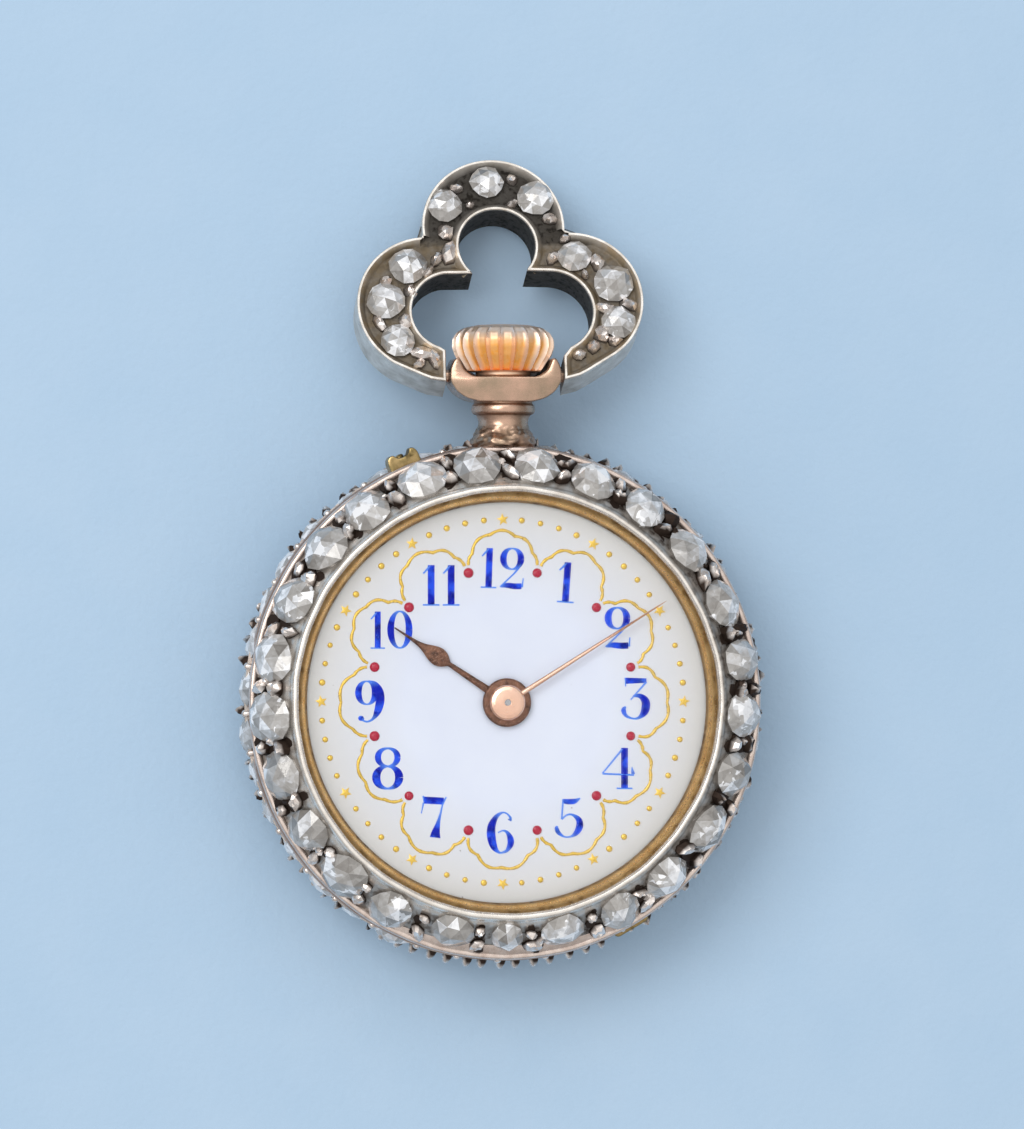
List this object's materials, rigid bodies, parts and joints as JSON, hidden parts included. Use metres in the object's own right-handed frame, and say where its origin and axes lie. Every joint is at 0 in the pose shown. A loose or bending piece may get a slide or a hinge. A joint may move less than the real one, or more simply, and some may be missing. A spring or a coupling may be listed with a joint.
{
  "type": "fob watch",
  "caption": "Small keyless fob watch: round stone-set case, white enamel dial with painted numerals, ribbed crown in a gold pendant and a trefoil stone-set bow.",
  "frame": {"origin": "centre of the flat in the middle of the back, on which the watch lies", "axes": "+Z is the dial's normal, up from the surface it lies on; +Y runs from the centre to 12 o'clock and the bow; +X runs to 3 o'clock"},
  "size_m": [0.0262, 0.0401, 0.0081],
  "materials": {
    "rose_gold": "polished rose gold",
    "yellow_gold": "satin yellow gold",
    "silver": "silver, polished on its edges and oxidised in its hollows",
    "diamond": "rose-cut stones",
    "crystal": "clear glass",
    "enamel": "white enamel on copper, painted",
    "oxidised_gold": "darkened gold",
    "gilt": "frosted gilding",
    "brass": "polished",
    "steel": "polished",
    "blued_steel": "heat-blued"
  },
  "bodies": {
    "case": {"case_middle": "rose_gold", "setting_guard": "yellow_gold", "dust_cap": "gilt", "back_hinge_pin": "steel", "bezel_hinge_pin": "steel", "pendant": "rose_gold", "bow_pin_right": "rose_gold", "bow_pin_left": "rose_gold", "dial": "enamel", "main_plate": "gilt", "case_screw_1": "blued_steel", "case_screw_2": "blued_steel", "barrel_bridge": "gilt", "train_bridge": "gilt", "balance_cock": "gilt", "pallet_cock": "gilt", "bridge_screw_1": "blued_steel", "bridge_screw_2": "blued_steel", "bridge_screw_3": "blued_steel", "click": "steel", "yoke": "steel", "hairspring": "blued_steel"},
    "back_cover_group": {"back_cover": "yellow_gold", "back_stones": "diamond"},
    "bezel_group": {"bezel": "silver", "bezel_stones": "diamond", "bezel_ring": "yellow_gold", "crystal": "crystal"},
    "crown_group": {"crown": "rose_gold", "winding_stem": "steel", "clutch_wheel": "steel"},
    "crown_wheel_group": {"crown_wheel": "steel"},
    "ratchet_group": {"ratchet_wheel": "steel", "barrel_arbor": "steel"},
    "setting_pin_group": {"setting_pin": "yellow_gold"},
    "bow_group": {"bow": "silver", "bow_stone_1": "diamond", "bow_stone_2": "diamond", "bow_stone_3": "diamond", "bow_stone_4": "diamond", "bow_stone_5": "diamond", "bow_stone_6": "diamond", "bow_stone_7": "diamond", "bow_stone_8": "diamond", "bow_stone_9": "diamond"},
    "minute_group": {"minute_hand": "rose_gold", "cannon_pinion": "steel"},
    "hour_group": {"hour_hand": "oxidised_gold", "hour_wheel": "brass"},
    "minute_wheel_group": {"minute_wheel": "brass"},
    "setting_wheel_group": {"setting_wheel": "steel"},
    "barrel_group": {"barrel": "brass", "barrel_lid": "brass", "mainspring": "blued_steel"},
    "centre_group": {"centre_wheel": "brass"},
    "third_group": {"third_wheel": "brass"},
    "fourth_group": {"fourth_wheel": "brass"},
    "escape_group": {"escape_wheel": "steel"},
    "lever_group": {"lever": "steel"},
    "balance_group": {"balance_wheel": "brass"}
  },
  "joints": [
    {"name": "bow_swing", "type": "hinge", "parent": "case", "child": "bow_group", "pos_m": [0, 0.01613, 0.0045], "axis": [1, 0, 0], "range_deg": [-100, 146]},
    {"name": "crown_wind", "type": "hinge", "parent": "case", "child": "crown_group", "pos_m": [0, 0.016, 0.0045], "axis": [0, 1, 0], "continuous": true},
    {"name": "crown_wheel_turn", "type": "hinge", "parent": "case", "child": "crown_wheel_group", "pos_m": [0, 0.00675, 0.0027], "axis": [0, 0, 1], "continuous": true},
    {"name": "ratchet_turn", "type": "hinge", "parent": "case", "child": "ratchet_group", "pos_m": [-0.0034, 0.00264, 0.0027], "axis": [0, 0, 1], "continuous": true},
    {"name": "setting_pin_press", "type": "slide", "parent": "case", "child": "setting_pin_group", "axis": [0.3907, -0.9205, 0], "range_m": [0, 0.0003], "stiffness_N_per_m": 150},
    {"name": "minute_hand_turn", "type": "hinge", "parent": "case", "child": "minute_group", "pos_m": [0, 0, 0.0068], "axis": [0, 0, 1], "continuous": true},
    {"name": "hour_hand_turn", "type": "hinge", "parent": "case", "child": "hour_group", "pos_m": [0, 0, 0.0065], "axis": [0, 0, 1], "continuous": true},
    {"name": "minute_wheel_turn", "type": "hinge", "parent": "case", "child": "minute_wheel_group", "pos_m": [-0.00089, 0.00244, 0.0051], "axis": [0, 0, 1], "continuous": true},
    {"name": "setting_wheel_turn", "type": "hinge", "parent": "case", "child": "setting_wheel_group", "pos_m": [-0.00029, 0.00551, 0.00505], "axis": [0, 0, 1], "continuous": true},
    {"name": "escape_wheel_turn", "type": "hinge", "parent": "case", "child": "escape_group", "pos_m": [-0.00115, -0.00426, 0.00306], "axis": [0, 0, 1], "continuous": true},
    {"name": "fourth_wheel_turn", "type": "hinge", "parent": "case", "child": "fourth_group", "pos_m": [0.0015, -0.00355, 0.00356], "axis": [0, 0, 1], "continuous": true},
    {"name": "third_wheel_turn", "type": "hinge", "parent": "case", "child": "third_group", "pos_m": [0.00343, -0.00125, 0.00316], "axis": [0, 0, 1], "continuous": true},
    {"name": "centre_wheel_turn", "type": "hinge", "parent": "case", "child": "centre_group", "pos_m": [0, 0, 0.00378], "axis": [0, 0, 1], "continuous": true},
    {"name": "barrel_turn", "type": "hinge", "parent": "case", "child": "barrel_group", "pos_m": [-0.0034, 0.00264, 0.0033], "axis": [0, 0, 1], "continuous": true},
    {"name": "lever_rock", "type": "hinge", "parent": "case", "child": "lever_group", "pos_m": [-0.0029, -0.0057, 0.0031], "axis": [0, 0, 1], "range_deg": [-4, 4]},
    {"name": "balance_swing", "type": "hinge", "parent": "case", "child": "balance_group", "pos_m": [-0.0053, -0.0044, 0.00275], "axis": [0, 0, 1], "range_deg": [-135, 135], "stiffness_Nm_per_rad": 0.0000001},
    {"name": "bezel_open", "type": "hinge", "parent": "case", "child": "bezel_group", "pos_m": [-0.0123, 0, 0.0054], "axis": [0, -1, 0], "range_deg": [0, 92]},
    {"name": "back_open", "type": "hinge", "parent": "case", "child": "back_cover_group", "pos_m": [-0.0123, 0, 0.0036], "axis": [0, 1, 0], "range_deg": [0, 92]}
  ],
  "couplings": [
    {"joint": "crown_wheel_turn", "follows": "crown_wind", "ratio": 1},
    {"joint": "ratchet_turn", "follows": "crown_wind", "ratio": -0.57778},
    {"joint": "hour_hand_turn", "follows": "minute_hand_turn", "ratio": 0.083333},
    {"joint": "minute_wheel_turn", "follows": "minute_hand_turn", "ratio": -0.33333},
    {"joint": "setting_wheel_turn", "follows": "minute_hand_turn", "ratio": 0.55556},
    {"joint": "fourth_wheel_turn", "follows": "escape_wheel_turn", "ratio": -0.1},
    {"joint": "third_wheel_turn", "follows": "escape_wheel_turn", "ratio": 0.013333},
    {"joint": "centre_wheel_turn", "follows": "escape_wheel_turn", "ratio": -0.0016667},
    {"joint": "barrel_turn", "follows": "escape_wheel_turn", "ratio": 0.00020833}
  ]
}
